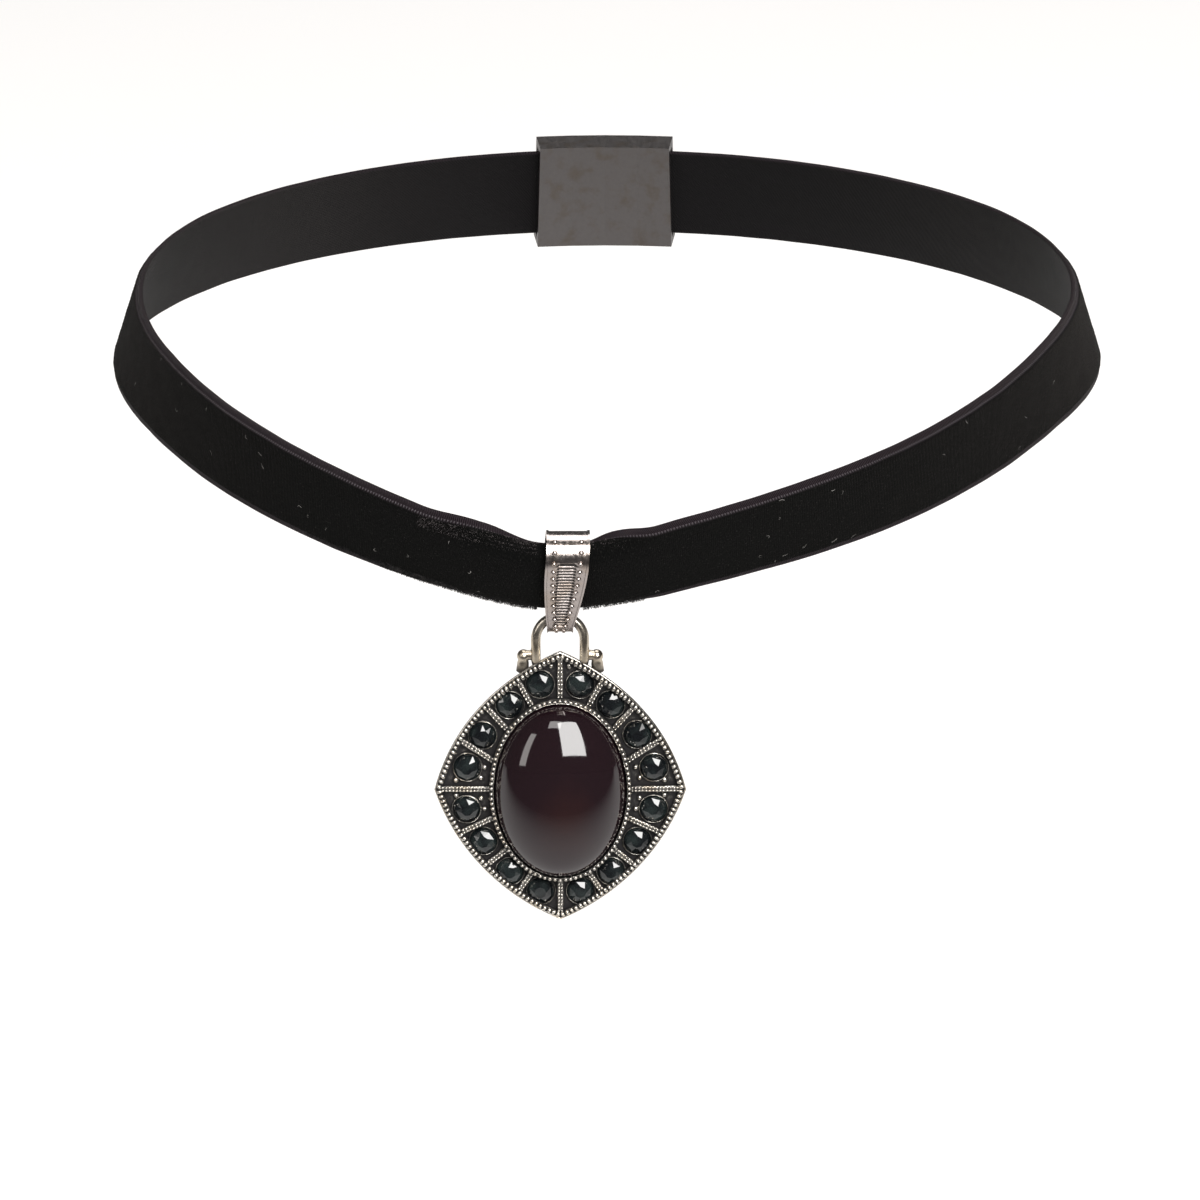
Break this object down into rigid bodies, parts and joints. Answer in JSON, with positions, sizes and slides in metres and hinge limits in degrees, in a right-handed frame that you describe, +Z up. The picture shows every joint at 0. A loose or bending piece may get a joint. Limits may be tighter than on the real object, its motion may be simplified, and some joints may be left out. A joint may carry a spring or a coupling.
{
  "type": "choker necklace",
  "caption": "Velvet ribbon choker with a folded metal bail and a cushion-shaped pendant set with an oval cabochon and a border of small cut stones.",
  "frame": {"origin": "middle of the neck opening, at mid-height of the ribbon's rise", "axes": "+Z up along the wearer's neck, -Y towards the front where the pendant hangs, +X to the viewer's right"},
  "size_m": [0.1042, 0.1057, 0.0576],
  "materials": {
    "velvet": "black cut-pile velvet ribbon with a satin selvage",
    "antique_silver": "antiqued silver plate, bright on the raised beading and dark in the recesses",
    "satin_nickel": "satin silver plate, slightly pinkish",
    "dark_glass": "polished, near black with a burgundy depth",
    "black_stone": "polished cut glass, black"
  },
  "bodies": {
    "band": {"ribbon": "velvet", "clasp": "satin_nickel", "bail": "satin_nickel"},
    "pendant": {"pendant_frame": "antique_silver", "cabochon": "dark_glass", "stone_01": "black_stone", "stone_02": "black_stone", "stone_03": "black_stone", "stone_04": "black_stone", "stone_05": "black_stone", "stone_06": "black_stone", "stone_07": "black_stone", "stone_08": "black_stone", "stone_09": "black_stone", "stone_10": "black_stone", "stone_11": "black_stone", "stone_12": "black_stone", "stone_13": "black_stone", "stone_14": "black_stone", "stone_15": "black_stone", "stone_16": "black_stone"}
  },
  "joints": [
    {"name": "pendant_swing", "type": "hinge", "parent": "band", "child": "pendant", "pos_m": [-0.005, -0.04682, -0.01997], "axis": [1, 0, 0], "range_deg": [-110, 80]}
  ]
}
